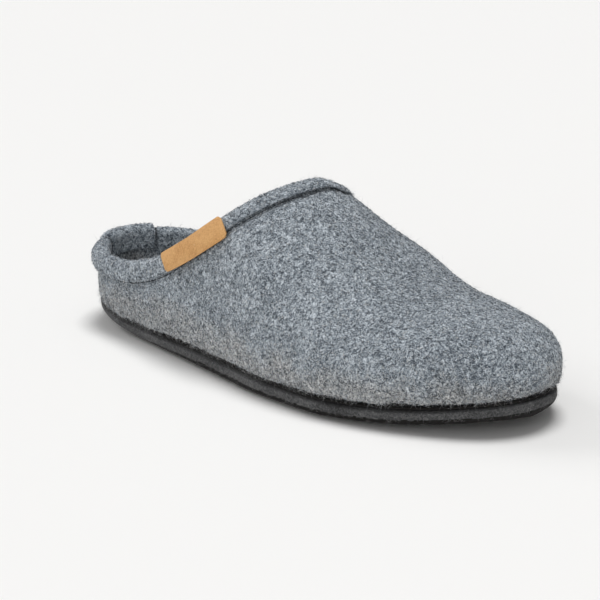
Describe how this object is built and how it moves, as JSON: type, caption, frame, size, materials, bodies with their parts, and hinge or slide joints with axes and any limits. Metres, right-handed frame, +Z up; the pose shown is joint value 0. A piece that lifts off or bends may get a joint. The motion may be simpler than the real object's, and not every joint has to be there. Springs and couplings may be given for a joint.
{
  "type": "felt slipper",
  "caption": "Open-backed felt house shoe for the right foot, with a low heel collar, a folded binding, a small blank tag and a thin flexible sole.",
  "frame": {"origin": "on the floor, in the middle of the whole slipper's footprint", "axes": "+X towards the toe, +Y towards the big toe side, +Z up"},
  "size_m": [0.2748, 0.1024, 0.0857],
  "materials": {
    "wool_felt": "fuzzy blue-grey mottled boiled wool",
    "insole_felt": "pressed grey wool felt",
    "dark_sole": "matt charcoal, with a fine felted edge",
    "black_line": "matt black",
    "tan_tag": "smooth, slightly waxed, blank"
  },
  "bodies": {
    "root": {"outsole": "dark_sole", "midsole": "black_line", "insole": "insole_felt", "upper": "wool_felt", "heel_cuff": "wool_felt", "binding": "wool_felt", "tag": "tan_tag"}
  },
  "joints": []
}
